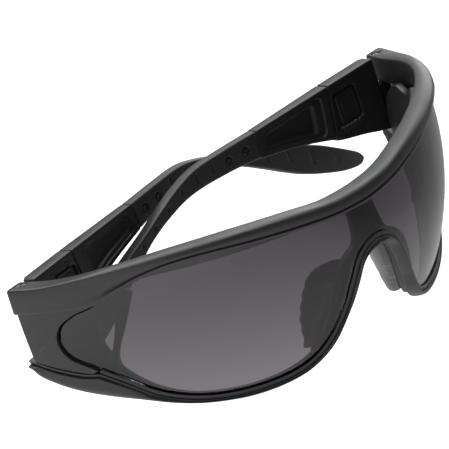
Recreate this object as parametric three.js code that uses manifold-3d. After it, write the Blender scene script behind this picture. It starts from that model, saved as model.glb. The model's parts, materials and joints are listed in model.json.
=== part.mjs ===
// Wraparound safety glasses with folding temples, in millimetres.
// The lens faces -Y and +Z is up. Right and left are as seen from in front of the lens: right is +X.
// Modelled with the temples folded, the right-hand (+X) temple nearest to the lens.
// The origin is at the middle of the base of the whole object's box.
import * as THREE from "three";
import { mergeVertices } from "three/addons/utils/BufferGeometryUtils.js";
import { TessellateModifier } from "three/addons/modifiers/TessellateModifier.js";
import Module from "manifold-3d";

const wasm = await Module();
wasm.setup();

// ---- driving dimensions ------------------------------------------------------------------
const GAP = 0.3; // clearance between pieces that touch
const WRAP_Y = 13; // the front wraps round a vertical axis at x = 0, y = WRAP_Y
const LENS_R = 69.4; // radius of the lens's outer face about that axis
const BULGE = 0.0075; // how fast that radius shrinks above and below LENS_MID_Z
const LENS_MID_Z = -5;
const NOSE_PUSH = 2; // how far the front stands forward at the nose
const LENS_T = 2.2; // lens thickness
const PIN_X = 66.45; // hinge pin axis, at y = 0
const PIN_R = 0.7;
const KNUCKLE_R = 1.3;
const PIN_TOP = -0.4;
const PIN_BOTTOM = -23.6;
const FRAME_OUT = 1.9; // outer face of the brow bar, outside the lens's outer face
const PANEL_IN = 0.5; // side panel's inner and outer faces, outside the lens's outer face
const PANEL_OUT = 1.3;
const RIM_IN = -2.4; // the rim's inner face under the lens
const CHEEK_IN = -3; // and along the cheek bars
const RIM_OUT = 1.6;
const SEAL_OUT = 1.3;
const CARRIER_IN = -4.4;
const CARRIER_OUT = -LENS_T - GAP;
const SEAL_W = 1.0; // width of the bead along the lens's lower edge
const FOLD_RIGHT = 2.2; // degrees each folded temple stands off the straight line between the pins
const FOLD_LEFT = 8;
const BASE_H = 19.6; // temple height at the hinge
const SEAM_1 = 18.7; // distance from the pin to the seam between base and arm, at the top
const SEAM_2 = 45.2; // and between arm and soft tip
const SEAM_LEAN = Math.tan(THREE.MathUtils.degToRad(9)); // the seams lean back towards the tip
const TEMPLE_IN = -1.5; // the temple's inner face, from the pin axis
const TEMPLE_T = 4.35; // temple thickness at the hinge
const ARM_END_T = 3.4; // and at the soft tip
const CORE_T = 1.0; // flat spring strip inside the tip
const CORE_H = 1.6;
const RIVET_R = 1.1;
const MM_PER_DEG = (LENS_R * Math.PI) / 180;

// ---- outlines of the front, as [angle in degrees from the middle, height] ------------------
const LENS_EDGE = [
  [0, -15.2], [3, -16.2], [5.8, -18.8], [8.2, -24], [11, -30.6], [14.5, -36.5], [19, -40.6],
  [25, -43.3], [33, -43.8], [42, -42.7], [50, -40], [57, -35.8], [62.5, -29.6], [67.6, -24.6],
  [72, -20.5], [73.4, -16], [71.8, -11.9], [68, -9.2], [64.2, -7.9],
];
const BROW_LOW = [
  [0, -6.3], [8, -5.7], [17, -4.4], [28, -2.6], [38, -1.1], [45, -1.0], [50, -1.9], [54, -3.2],
  [58, -5], [61, -6.4], [64.5, -7], [70, -7], [84, -7],
];
const BROW_TOP = [
  [0, -1.9], [8.6, -1.5], [16.4, -0.1], [24, 1], [33, 1.9], [45, 2.4], [57, 1.9], [66, 0.9],
  [74, 0.1], [84, 0],
];
const BROW_INNER_R = [
  [0, 65.6], [30, 65.6], [45, 66.4], [57, 67.4], [66, 67.4], [76, 66.2], [84, 66],
];
const RIM_TOP = [[84, -19.6], [76.4, -23.2], [69, -26.4]];
const RIM_EDGE = [
  [0, -18.6], [3, -19.2], [5, -21.2], [6.6, -25], [8.4, -29], [10.6, -33], [13.5, -38.3],
  [17, -41.8], [22, -44.4], [29, -45.4], [36, -45.2], [42, -44.2], [48, -42.8], [53, -41.1],
  [58, -39], [63, -36.6], [68, -34], [73, -31.2], [78, -28.2], [82, -25.6], [84, -22.6],
];
const EYE_OPENING = [
  [3.4, -6.4], [3.7, -11], [4.6, -15.5], [7.8, -18], [11, -22.5], [13.6, -30], [16.6, -37.6],
  [21.5, -41], [29, -42.3], [38, -42], [48.6, -39.8], [56.5, -35.6], [61.6, -30], [63.4, -24.6],
  [58.4, -14.6], [54.8, -7], [53.4, -3.4],
];
const VENT_SLOT = [
  [60.2, -8.6], [63.3, -10.5], [65.6, -14], [66.2, -18], [65.4, -21.5], [63.2, -18], [61.4, -13],
];
// ---- the temple, as [distance from the pin, height] ---------------------------------------
const TIP_TOP = [
  [45, 0], [58, 0.2], [68, 0], [76, -2], [83, -4.7], [90, -7.6], [99, -10.8], [107, -13.6],
  [115.5, -17.8], [123, -22.2], [127.4, -25.2],
];
const TIP_LOW = [
  [45, -7.3], [57, -6], [71, -5.7], [81, -7.8], [88, -10.4], [92.5, -12.8], [98, -16.2],
  [104, -20], [109, -22.9], [114.5, -25.2], [121.5, -27.4], [127.4, -28.2],
];
const RIVETS = [[50.2, -3.5], [56.2, -3.3]];

// ---- geometry helpers ---------------------------------------------------------------------
const radians = THREE.MathUtils.degToRad;

// A smooth curve through [a, b] points, read as b at a given a.
function curveAt(points, a) {
  const n = points.length;
  if (a <= points[0][0]) return points[0][1];
  if (a >= points[n - 1][0]) return points[n - 1][1];
  let i = 0;
  while (points[i + 1][0] < a) i++;
  const slope = (j) => {
    const p = points[Math.max(j - 1, 0)];
    const q = points[Math.min(j + 1, n - 1)];
    return (q[1] - p[1]) / (q[0] - p[0]);
  };
  const [a0, b0] = points[i];
  const [a1, b1] = points[i + 1];
  const h = a1 - a0;
  const t = (a - a0) / h;
  const blend = t * t * (3 - 2 * t);
  const m0 = slope(i) * h * t * (1 - t) * (1 - t);
  const m1 = slope(i + 1) * h * t * t * (t - 1);
  return b0 + (b1 - b0) * blend + m0 + m1;
}

// Points along a smooth open curve through the given ones.
function smooth(points, count) {
  const curve = new THREE.CatmullRomCurve3(
    points.map(([a, b]) => new THREE.Vector3(a * MM_PER_DEG, b, 0)), false, "centripetal");
  return curve.getSpacedPoints(count).map((p) => [p.x / MM_PER_DEG, p.y]);
}

// The same curve moved sideways by a distance in millimetres (positive to its left).
function moved(points, distance) {
  return points.map(([a, b], i) => {
    const p = points[Math.max(i - 1, 0)];
    const q = points[Math.min(i + 1, points.length - 1)];
    const dx = (q[0] - p[0]) * MM_PER_DEG;
    const dz = q[1] - p[1];
    const length = Math.hypot(dx, dz);
    return [a - (dz / length) * distance / MM_PER_DEG, b + (dx / length) * distance];
  });
}

const mirrored2 = (points) => points.map(([a, b]) => [-a, b]).reverse();

// Radius of the front's outer face about the wrap axis; it stands upright near the hinges.
function frontRadius(angle, z) {
  const upright = 0.55 * THREE.MathUtils.smoothstep(Math.abs(angle), 58, 79);
  const lean = BULGE * (z - LENS_MID_Z) ** 2 * (1 - upright);
  const nose = NOSE_PUSH * Math.exp(-((angle / 18) ** 2)) * THREE.MathUtils.clamp(-z / 15, 0, 1);
  return LENS_R - lean + nose;
}

function wrap(angle, outward, z) {
  const r = frontRadius(angle, z) + outward;
  const t = radians(angle);
  return new THREE.Vector3(r * Math.sin(t), WRAP_Y - r * Math.cos(t), z);
}

function bare(geometry) {
  geometry.deleteAttribute("normal");
  geometry.deleteAttribute("uv");
  return geometry;
}

function toShape(points) {
  const shape = new THREE.Shape(points.map(([a, b]) => new THREE.Vector2(a * MM_PER_DEG, b)));
  return shape;
}

// A plate cut to an outline and bent round the front, from one distance outward to another.
function wrappedPlate(outline, holes, from, to, edge = 9) {
  const shape = toShape(outline);
  shape.holes = holes.map(toShape);
  const flat = new THREE.ExtrudeGeometry(shape, { depth: 1, bevelEnabled: false, steps: 1 });
  const fine = new TessellateModifier(edge, 10).modify(bare(flat));
  const at = fine.getAttribute("position");
  for (let i = 0; i < at.count; i++) {
    const angle = at.getX(i) / MM_PER_DEG;
    const inner = typeof from === "function" ? from(angle) : from;
    const p = wrap(angle, inner + at.getZ(i) * (to - inner), at.getY(i));
    at.setXYZ(i, p.x, p.y, p.z);
  }
  return bare(fine);
}

// A closed skin through rings of the same number of points, with flat ends.
function loft(rings) {
  const n = rings[0].length;
  const index = [];
  for (let i = 0; i + 1 < rings.length; i++)
    for (let j = 0; j < n; j++) {
      const a = i * n + j;
      const b = i * n + ((j + 1) % n);
      index.push(a, b, a + n, b, b + n, a + n);
    }
  const last = (rings.length - 1) * n;
  const cap = THREE.ShapeUtils.triangulateShape(flatRing(rings[0]), []);
  for (const [a, b, c] of cap) index.push(c, b, a);
  const endCap = THREE.ShapeUtils.triangulateShape(flatRing(rings[rings.length - 1]), []);
  for (const [a, b, c] of endCap) index.push(last + a, last + b, last + c);
  const geometry = new THREE.BufferGeometry().setFromPoints(rings.flat());
  geometry.setIndex(index);
  return volumeOf(geometry) < 0 ? turnedOut(geometry) : geometry;
}

// A ring's points in its own plane, for closing an end.
function flatRing(ring) {
  const middle = ring.reduce((s, p) => s.add(p), new THREE.Vector3()).divideScalar(ring.length);
  const normal = new THREE.Vector3();
  ring.forEach((p, i) => {
    const q = ring[(i + 1) % ring.length];
    normal.add(p.clone().sub(middle).cross(q.clone().sub(middle)));
  });
  normal.normalize();
  const across = ring[0].clone().sub(middle).normalize();
  const up = normal.clone().cross(across);
  return ring.map((p) => {
    const d = p.clone().sub(middle);
    return new THREE.Vector2(d.dot(across), d.dot(up));
  });
}

function volumeOf(geometry) {
  const at = geometry.getAttribute("position");
  const index = geometry.index.array;
  const point = (i) => new THREE.Vector3().fromBufferAttribute(at, i);
  let volume = 0;
  for (let i = 0; i < index.length; i += 3)
    volume += point(index[i]).dot(point(index[i + 1]).cross(point(index[i + 2]))) / 6;
  return volume;
}

function turnedOut(geometry) {
  const index = geometry.index.array;
  for (let i = 0; i < index.length; i += 3) [index[i + 1], index[i + 2]] = [index[i + 2], index[i + 1]];
  return geometry;
}

function solid(geometry) {
  const merged = mergeVertices(bare(geometry), 1e-4);
  return new wasm.Manifold(new wasm.Mesh({
    numProp: 3,
    vertProperties: new Float32Array(merged.getAttribute("position").array),
    triVerts: new Uint32Array(merged.index.array),
  }));
}

function geometryOf(manifold) {
  const mesh = manifold.getMesh();
  const geometry = new THREE.BufferGeometry();
  geometry.setAttribute("position", new THREE.BufferAttribute(new Float32Array(mesh.vertProperties), 3));
  geometry.setIndex(new THREE.BufferAttribute(new Uint32Array(mesh.triVerts), 1));
  return geometry;
}

const cut = (from, ...tools) =>
  geometryOf(tools.reduce((whole, tool) => whole.subtract(solid(tool)), solid(from)));
const join = (...pieces) =>
  geometryOf(pieces.map(solid).reduce((whole, piece) => whole.add(piece)));
const common = (a, b) => geometryOf(solid(a).intersect(solid(b)));

// An upright round bar from one height to another.
function uprightBar(radius, x, y, from, to, sides = 20) {
  const bar = new THREE.CylinderGeometry(radius, radius, to - from, sides);
  return bare(bar).rotateX(Math.PI / 2).translate(x, y, (from + to) / 2);
}

// An outline in x and z pushed through from one y to another.
function sideExtrusion(points, fromY, toY) {
  const shape = new THREE.Shape(points.map(([a, b]) => new THREE.Vector2(a, b)));
  const body = new THREE.ExtrudeGeometry(shape, { depth: toY - fromY, bevelEnabled: false });
  return bare(body).rotateX(Math.PI / 2).translate(0, toY, 0);
}

// An outline in x and y raised from one height to another.
function planExtrusion(points, from, to) {
  const shape = new THREE.Shape(points.map(([a, b]) => new THREE.Vector2(a, b)));
  const body = new THREE.ExtrudeGeometry(shape, { depth: to - from, bevelEnabled: false });
  return bare(body).translate(0, 0, from);
}

function mirroredX(geometry) {
  const copy = mergeVertices(bare(geometry.clone()), 1e-4).scale(-1, 1, 1);
  return turnedOut(copy);
}

// ---- the front ----------------------------------------------------------------------------
const lensSide = smooth(LENS_EDGE, 32);
const lensTop = [50, 38, 26, 13].map((a) => [a, curveAt(BROW_LOW, a) + 1.4]);
const lensTopEnd = [[60, curveAt(BROW_LOW, 60) + 0.6]];
const upperEdge = [...lensTopEnd, ...lensTop, [0, curveAt(BROW_LOW, 0) + 1.4]];

// The lens's whole outline, grown by a distance (more at its two ends), counter-clockwise.
function lensOutline(grow, endGrow = grow) {
  const side = moved(lensSide, -grow).map(([a, z], i) => {
    const atEnd = THREE.MathUtils.smoothstep(lensSide[i][0], 63, 68);
    const [b, y] = moved(lensSide, -endGrow)[i];
    return [a + (b - a) * atEnd, z + (y - z) * atEnd];
  });
  side[0] = [0, lensSide[0][1] - grow];
  const half = [...side, ...upperEdge];
  const otherHalf = half.slice(1, -1).map(([a, b]) => [-a, b]).reverse();
  return [...half, ...otherHalf];
}

function lens() {
  return wrappedPlate(lensOutline(SEAL_W - 0.2), [], -LENS_T, 0);
}

// The inner frame behind the lens: a rim with one opening for each eye and a vent slot each side.
function lensCarrier() {
  const eye = smooth([...EYE_OPENING, EYE_OPENING[0]], 34).slice(0, -1);
  const holes = [eye, mirrored2(eye), VENT_SLOT, mirrored2(VENT_SLOT)];
  return wrappedPlate(lensOutline(SEAL_W - 0.2, 1.7), holes, CARRIER_IN, CARRIER_OUT);
}

// The bead that holds the lens's lower edge, from one cheek round the nose to the other.
function lensSeal() {
  const run = lensSide.filter(([a, z]) => z < -25.5 || a < 20);
  const far = moved(run, -SEAL_W);
  far[0] = [0, run[0][1] - SEAL_W];
  const right = [...run.slice(1).reverse(), [0, run[0][1]]];
  const strip = [...right, ...run.slice(1).map(([a, b]) => [-a, b])];
  const back = [...far.slice(1).map(([a, b]) => [-a, b]).reverse(), ...far];
  return wrappedPlate([...strip, ...back].reverse(), [], GAP, SEAL_OUT);
}

// The lower frame: both cheek bars, the rim under each eye and the nose arch, in one piece.
function lowerRim() {
  const run = lensSide.filter(([a, z]) => z < -25.5 || a < 20);
  const inner = moved(run, -SEAL_W - 0.25);
  inner[0] = [0, run[0][1] - SEAL_W - 0.25];
  const innerRight = [...inner, ...RIM_TOP.slice().reverse()];
  const outerRight = smooth(RIM_EDGE, 36);
  const half = [...outerRight, ...innerRight.slice().reverse()];
  const right = half.slice(0, -1);
  const left = right.slice(1).map(([a, b]) => [-a, b]).reverse();
  const ring = [...right, [0, inner[0][1]], ...left];
  const innerFace = (angle) =>
    RIM_IN + (CHEEK_IN - RIM_IN) * THREE.MathUtils.smoothstep(Math.abs(angle), 48, 76);
  const plate = wrappedPlate(ring, [], innerFace, RIM_OUT);
  return cut(plate, pinHole(1), pinHole(-1));
}

const pinHole = (side) => uprightBar(PIN_R + 0.05, side * PIN_X, 0, PIN_BOTTOM - GAP, 5);

// The brow bar's section at an angle: a lip in front of the lens, a ridge and a sloping top.
function browSection(angle) {
  const a = Math.abs(angle);
  const top = curveAt(BROW_TOP, a);
  const low = curveAt(BROW_LOW, a);
  const behindLens = THREE.MathUtils.smoothstep(a, 64, 68);
  const seat = low + (1.4 + GAP) * (1 - behindLens);
  const innerR = curveAt(BROW_INNER_R, a);
  const lensR = frontRadius(angle, low);
  const outR = lensR + FRAME_OUT;
  const lipR = lensR + GAP;
  const t = radians(angle);
  const at = (r, z) => new THREE.Vector3(r * Math.sin(t), WRAP_Y - r * Math.cos(t), z);
  return [
    at(innerR, seat), at(innerR, top), at(outR - 1.6, top - 0.25), at(outR, top - 1.3),
    at(outR, low), at(lipR, low), at(lipR, seat),
  ];
}

function browBar() {
  const rings = [];
  for (let angle = -84; angle <= 84; angle += 4) rings.push(browSection(angle));
  // The ends slant back from just behind the pin, to clear the temple's slanted end.
  const trim = planExtrusion([[60, 1.5], [66.3, 1.5], [73, 5.2], [73, 12], [60, 12]], -12, 6);
  return cut(loft(rings), trim, mirroredX(trim), pinHole(1), pinHole(-1));
}

function sidePanel() {
  const hug = moved(lensSide.filter(([a, z]) => a > 66 && z > -24.5), -0.8);
  const top = -7 - GAP;
  const end = 81.6;
  const lower = moved(RIM_TOP, -GAP).filter(([a]) => a < end);
  const outline = [
    ...hug.filter(([, z]) => z < top).reverse(),
    ...lower.slice().reverse(),
    [end, curveAt(RIM_TOP.slice().reverse(), end) + GAP],
    [end, top],
    [66.5, top],
  ];
  return wrappedPlate(outline, [], PANEL_IN, PANEL_OUT, 4);
}

// A soft wing behind one side of the nose arch; its section runs back and outward.
const PAD_HEIGHTS = [-20.5, -23, -26, -29, -32, -35, -38];
const archAngle = (z) => curveAt([[-44, 19.5], [-38.3, 13.5], [-33, 10.6], [-29, 8.4], [-25, 6.6],
  [-21.2, 5], [-19.2, 3.4]], z);

function nosePad() {
  const rings = PAD_HEIGHTS.map((z) => {
    const span = 9.5 * Math.sin(Math.PI * THREE.MathUtils.clamp((z + 44) / 28, 0.12, 1) ** 0.8);
    const front = wrap(archAngle(z) + 1.6, CARRIER_IN - GAP - 0.2, z);
    const flare = 0.34 * span;
    const at = (back, side) => new THREE.Vector3(front.x + flare * (back / 10) + side, front.y + back, z);
    const depth = 4 + span * 0.75;
    return [at(0, -0.9), at(depth * 0.5, -1.2), at(depth, -0.8), at(depth + 0.4, 0.1),
      at(depth, 0.9), at(depth * 0.5, 0.8), at(0, 0.9)];
  });
  return loft(rings);
}

// The stiff clip on the carrier that the pad pushes on to.
function noseClip() {
  const rings = [-24, -28, -32].map((z) => {
    const front = wrap(archAngle(z) + 4.6, CARRIER_IN - GAP, z);
    const at = (x, y) => new THREE.Vector3(front.x + x, front.y + y, z);
    return [at(-0.8, 0), at(0.9, 0), at(0.7, 2.6), at(-0.3, 2.6)];
  });
  return loft(rings);
}

function hingePin() {
  return uprightBar(PIN_R, PIN_X, 0, PIN_BOTTOM, PIN_TOP, 16);
}

// ---- the temple ---------------------------------------------------------------------------
// Built pointing along +X from the pin at the origin, with its inner face towards -Y.
const templeBack = (u) => TEMPLE_IN + TEMPLE_T
  - (TEMPLE_T - ARM_END_T) * THREE.MathUtils.clamp((u - SEAM_1) / (SEAM_2 - SEAM_1), 0, 1);
const templeLow = (u) => curveAt([[3, -BASE_H], [8, -18.2], [20.5, -14], [33, -10.2], [46.4, -7.3]], u);
const seamAt = (seam, z) => seam - z * SEAM_LEAN * 0.9;

// The temple's side outline between two seams.
function sideOutline(fromTop, fromLow, toTop, toLow, low = templeLow) {
  const steps = 5;
  const under = [];
  for (let i = 0; i <= steps; i++) {
    const u = toLow + ((fromLow - toLow) * i) / steps;
    under.push([u, low(u)]);
  }
  return [[fromTop, 0], ...under.reverse(), [toTop, 0]];
}

// A rounded four-sided outline that leans like the seams.
function leaningPatch(u0, u1, top0, top1, low0, low1, round) {
  const corners = [[u0, top0], [u1, top1], [u1 - (low1 - top1) * SEAM_LEAN, low1],
    [u0 - (low0 - top0) * SEAM_LEAN, low0]];
  const shape = [];
  corners.forEach((corner, i) => {
    const before = corners[(i + 3) % 4];
    const after = corners[(i + 1) % 4];
    for (const t of [0, 0.5, 1]) {
      const toward = (p) => {
        const d = Math.hypot(p[0] - corner[0], p[1] - corner[1]);
        return [corner[0] + ((p[0] - corner[0]) * round) / d, corner[1] + ((p[1] - corner[1]) * round) / d];
      };
      const p = toward(before);
      const q = toward(after);
      const w = (1 - t) ** 2;
      const v = 2 * t * (1 - t);
      shape.push([w * p[0] + v * corner[0] + t * t * q[0], w * p[1] + v * corner[1] + t * t * q[1]]);
    }
  });
  return shape;
}

const PLATE = [9.8, 16.4, -3.4, -3.8, -11.6, -10.6, 1];

function templeBase() {
  const seamLow = seamAt(SEAM_1, -14);
  const side = sideExtrusion(sideOutline(2, 2, SEAM_1, seamLow), -4, 6);
  const back = TEMPLE_IN + TEMPLE_T;
  const plan = planExtrusion([[2.4, TEMPLE_IN], [22, TEMPLE_IN], [22, back], [5.7, back]], -24, 2);
  const leaf = planExtrusion([[0, -1.3], [4.2, -1.6], [4.6, 1], [0, 1]], -BASE_H + 0.4, -7.4);
  const knuckle = uprightBar(KNUCKLE_R, 0, 0, -BASE_H + 0.4, -7.4);
  const eye = uprightBar(PIN_R + 0.06, 0, 0, -30, 5);
  const pocket = sideExtrusion(leaningPatch(...PLATE), TEMPLE_IN - 1, TEMPLE_IN + 1);
  return cut(join(common(side, plan), leaf, knuckle), eye, pocket);
}

// The blank plate that closes the pocket in the base.
function basePlate() {
  const [u0, u1, a, b, c, d, round] = PLATE;
  const inset = GAP;
  const outline = leaningPatch(u0 + inset, u1 - inset, a - inset, b - inset, c + inset, d + inset, round);
  return sideExtrusion(outline, TEMPLE_IN + 0.2, TEMPLE_IN + 0.7);
}

function templeArm() {
  const from = SEAM_1 + GAP;
  const side = sideExtrusion(
    sideOutline(from, seamAt(from, -14), SEAM_2, seamAt(SEAM_2, -7.3)), -4, 6);
  const plan = planExtrusion(
    [[15, TEMPLE_IN], [50, TEMPLE_IN], [50, templeBack(50)], [SEAM_2, templeBack(SEAM_2)],
      [SEAM_1, templeBack(SEAM_1)], [15, templeBack(15)]], -24, 2);
  const recess = sideExtrusion(leaningPatch(22, 42.4, -1.5, -1.5, -11.2, -5.8, 2), TEMPLE_IN - 1,
    TEMPLE_IN + 2.2);
  const socket = coreLoft(0.25, SEAM_2 - 3.6, SEAM_2 + 4, 2);
  return cut(common(side, plan), recess, socket);
}

// Half thickness of the tip, and the middle line of the tip and its core.
const tipBow = (u) => -5.4 * (Math.max(u - 46, 0) / 83) ** 2;
const tipMidV = (u) => TEMPLE_IN + ARM_END_T / 2 + tipBow(u);
const tipMidZ = (u) => (curveAt(TIP_TOP, u) + curveAt(TIP_LOW, u)) / 2;

// The strip's skin, grown by a margin, between two distances from the pin.
function coreLoft(margin, from, to, count) {
  const rings = [];
  for (let i = 0; i <= count; i++) {
    const u = from + ((to - from) * i) / count;
    const z = tipMidZ(u);
    const v = tipMidV(u);
    const t = CORE_T / 2 + margin;
    const h = CORE_H / 2 + margin;
    rings.push([[-t, -h], [t, -h], [t, h], [-t, h]].map(([dv, dz]) => new THREE.Vector3(u, v + dv, z + dz)));
  }
  return loft(rings);
}

function templeTip() {
  const rings = [];
  const stations = [SEAM_2 + GAP, 49, 53, 58, 63, 68, 73, 78, 83, 88, 93, 98, 103, 108, 113, 118, 122,
    125, 127, 128.4];
  for (const u of stations) {
    const last = u > 128;
    const top = last ? -26.1 : curveAt(TIP_TOP, u);
    const low = last ? -27.8 : curveAt(TIP_LOW, u);
    const first = u < 46;
    const half = (ARM_END_T / 2) * (u > 126 ? 0.75 : 1);
    const h = (top - low) / 2;
    const z = (top + low) / 2;
    const lean = (dz) => (first ? -(z + dz) * SEAM_LEAN * 0.9 : 0);
    const corner = Math.min(0.9, h * 0.5);
    const section = [[-half, -h + corner], [-half + 0.7, -h], [half - 0.7, -h], [half, -h + corner],
      [half, h - corner], [half - 0.7, h], [-half + 0.7, h], [-half, h - corner]];
    rings.push(section.map(([dv, dz]) => new THREE.Vector3(u + lean(dz), tipMidV(u) + dv, z + dz)));
  }
  const tools = RIVETS.map(([u, z]) => rivetBar(RIVET_R + 0.2, u, z, TEMPLE_IN - 1, coreFace(u) - 0.1));
  return cut(loft(rings), coreLoft(0.25, SEAM_2 - 1, 104.3, 14), ...tools);
}

const coreFace = (u) => tipMidV(u) - CORE_T / 2;

function rivetBar(radius, u, z, from, to) {
  const bar = new THREE.CylinderGeometry(radius, radius, to - from, 14);
  return bare(bar).translate(u, (from + to) / 2, z);
}

const templeCore = () => coreLoft(0, SEAM_2 - 3.3, 104, 14);
const tipRivet = ([u, z]) => rivetBar(RIVET_R, u, z, TEMPLE_IN + 0.1, coreFace(u) - 0.25);

// ---- materials ----------------------------------------------------------------------------
const finish = (color, roughness, metalness = 0, extra = {}) =>
  new THREE.MeshStandardMaterial({ color, roughness, metalness, ...extra });
const matteBlack = () => finish(0x202122, 0.55);
const softRubber = () => finish(0x2a2b2c, 0.75);
const tintedLens = () => finish(0x575058, 0.05, 0, { transparent: true, opacity: 0.7 });
const glossRubber = () => finish(0x3a3b3d, 0.3);
const steel = () => finish(0xb8babd, 0.3, 1);

// ---- assembly -----------------------------------------------------------------------------
const glasses = new THREE.Group();

function add(name, geometry, material, parent = glasses) {
  const mesh = new THREE.Mesh(geometry, material);
  mesh.name = name;
  parent.add(mesh);
  return mesh;
}

function addPair(name, geometry, material) {
  add(name + "_right", geometry, material());
  add(name + "_left", mirroredX(geometry), material());
}

function addTemple(side, fold) {
  const temple = new THREE.Group();
  const place = side === "right" ? mirroredX : (geometry) => geometry;
  const put = (name, geometry, material) => add(name + "_" + side, place(geometry), material(), temple);
  put("temple_base", templeBase(), matteBlack);
  put("base_plate", basePlate(), matteBlack);
  put("temple_arm", templeArm(), matteBlack);
  put("temple_tip", templeTip(), softRubber);
  put("temple_core", templeCore(), steel);
  RIVETS.forEach((rivet, i) => put("tip_rivet_" + (i + 1), tipRivet(rivet), matteBlack));
  temple.position.x = side === "right" ? PIN_X : -PIN_X;
  temple.rotation.z = radians(side === "right" ? -fold : fold);
  glasses.add(temple);
}

add("brow_bar", browBar(), matteBlack());
add("lower_rim", lowerRim(), matteBlack());
add("lens", lens(), tintedLens());
add("lens_carrier", lensCarrier(), matteBlack());
add("lens_seal", lensSeal(), softRubber());
addPair("side_panel", sidePanel(), matteBlack);
addPair("nose_pad", nosePad(), glossRubber);
addPair("nose_clip", noseClip(), matteBlack);
addPair("hinge_pin", hingePin(), steel);
addTemple("right", FOLD_RIGHT);
addTemple("left", FOLD_LEFT);

// Put the origin at the middle of the base.
glasses.updateMatrixWorld(true);
const box = new THREE.Box3().setFromObject(glasses, true);
glasses.position.set(0, -(box.min.y + box.max.y) / 2, -box.min.z);

export default glasses;
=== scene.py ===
import json
import math

import bmesh
import bpy
from mathutils import Matrix, Vector


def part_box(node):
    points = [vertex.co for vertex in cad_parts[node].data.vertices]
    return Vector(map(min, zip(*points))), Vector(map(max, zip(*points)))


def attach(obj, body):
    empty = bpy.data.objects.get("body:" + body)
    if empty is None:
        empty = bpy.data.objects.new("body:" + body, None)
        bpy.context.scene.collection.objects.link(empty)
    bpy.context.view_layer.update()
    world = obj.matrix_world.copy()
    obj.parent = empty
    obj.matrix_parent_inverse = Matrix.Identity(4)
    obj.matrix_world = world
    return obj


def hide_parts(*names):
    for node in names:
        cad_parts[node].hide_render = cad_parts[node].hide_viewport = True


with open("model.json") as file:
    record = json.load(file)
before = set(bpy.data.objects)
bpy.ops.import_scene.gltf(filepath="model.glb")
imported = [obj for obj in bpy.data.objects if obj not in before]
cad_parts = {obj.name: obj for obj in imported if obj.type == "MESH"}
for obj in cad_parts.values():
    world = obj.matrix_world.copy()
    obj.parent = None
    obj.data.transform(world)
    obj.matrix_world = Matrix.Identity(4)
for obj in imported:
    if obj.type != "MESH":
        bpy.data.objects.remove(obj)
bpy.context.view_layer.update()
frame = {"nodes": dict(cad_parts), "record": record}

# ---- sizes in millimetres, as the front and the temples were designed --------------------
MM = 0.001
HINGES = {joint["child"]: Vector(joint["pos_m"]) for joint in frame["record"]["behaviour"]["joints"]}
PIN_X = HINGES["temple_right"].x / MM
PIN_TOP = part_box("temple_base_right")[1].z
DATUM = Vector((0, HINGES["temple_right"].y, PIN_TOP))  # midway between the pins, at their tops
WRAP_Y = 13.0  # the front wraps round an upright axis at x = 0, y = WRAP_Y
LENS_R = 69.4
LENS_T = 2.2
MM_PER_DEG = LENS_R * math.pi / 180
SIDES = {"right": 1, "left": -1}
FRONT_END = 84.0  # the front's last angle
BROW_TAIL = 66  # the angle where the brow bar's ends begin
BROW_END_Y = 2.1  # the bar's square ends, just behind the pins
LIP_OUT = 1.9  # brow bar's front, outside the lens
PIN_HOLE = 1.0  # radius of the hole in which a pin's top shows
PIN_HOLE_DEPTH = 1.6
LENS_TUCK = 1.4  # how far the lens runs up behind the brow bar
LENS_FOOT = 0.55  # how far it runs down behind its seal
LENS_SOFT = 0.14  # how far the corners of its edges are eased
LENS_END = 60  # the angle where the lens's rounded ends begin
LENS_TIP = 73.32  # the lens's last angle, with its two heights
LENS_TIP_HIGH = -15.7
LENS_TIP_LOW = -16.3
SEAL_OUT = 0.55  # the seal's middle, below the lens's edge
SEAL_HALF = 0.6  # half its height
SEAL_FRONT = 0.45  # its middle, outside the lens
SEAL_RISE = 0.32  # half its thickness
CHEEK_JOIN = -25.2  # the height where the lens's lower edge leaves the cheek bar
NOSE_SPAN = 24  # nearer the middle than this, the edge may be higher than that
CHEEK_ANGLES = (50, 74)  # between these the rim's section turns into the cheek bar's
RIM_GAP = 1.15  # from the lens's edge to the rim
RIM_LEAST = 2.4  # the section is squeezed where the rim is narrower than this
CARRIER_LAP = 1.1  # how far the carrier runs out behind the rim
END_LAP = 3.8  # the same at the lens's two ends
CARRIER_T = 1.9
PANEL_REAR = 81.2  # the side panel's rear edge, as an angle
PANEL_FRONT = 1.0  # its outer face, outside the lens
PANEL_GAP = 0.5  # its cut-out, round the end of the lens
PAD_TOP = -19.6
PAD_FOOT = -39.6
PAD_BACK = -5.2  # the nose pad's flange, behind the lens's outer face
SCALLOP = 3.1  # height of one scallop along the pad's back edge
SCALLOP_DEPTH = 0.45
DEEPER = 1.12  # how much deeper the pads stand than PAD_DEPTH
SEAM_1 = 18.7  # distances from the pin to the seams between base, arm and tip
SEAM_2 = 45.2
SEAM_LEAN = 0.9 * math.tan(math.radians(9))  # how far the seams lean for each millimetre of height
FOLD = {"right": 2.2, "left": 8.0}  # degrees that each folded temple stands off the line of the pins
TEMPLE_IN = -1.5  # the inner face, from the plane of the pins
TEMPLE_T = 4.35
ARM_END_T = 3.4
BASE_START = 3.1  # the base's end at the hinge
BASE_CUT = 0.6  # how much of its outer face is cut back there
PLATE_MID = (14.3, 7.6)  # distance from the pin and from the top
PLATE_HALF = (3.35, 4.1)
PLATE_BACK = 0.85  # the plate's hidden face, from the inner face
KNUCKLE_R = 1.3
KNUCKLE_LOW = -19.2
KNUCKLE_TOP = -7.4
KNUCKLE_SOFT = 0.15
TIP_SOFT = 0.6
TIP_BOW = 5.4  # how far the tip bows inwards
TIP_ROUND = 119.0  # where the tip's end starts to round off
TIP_END = 129.4

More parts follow.
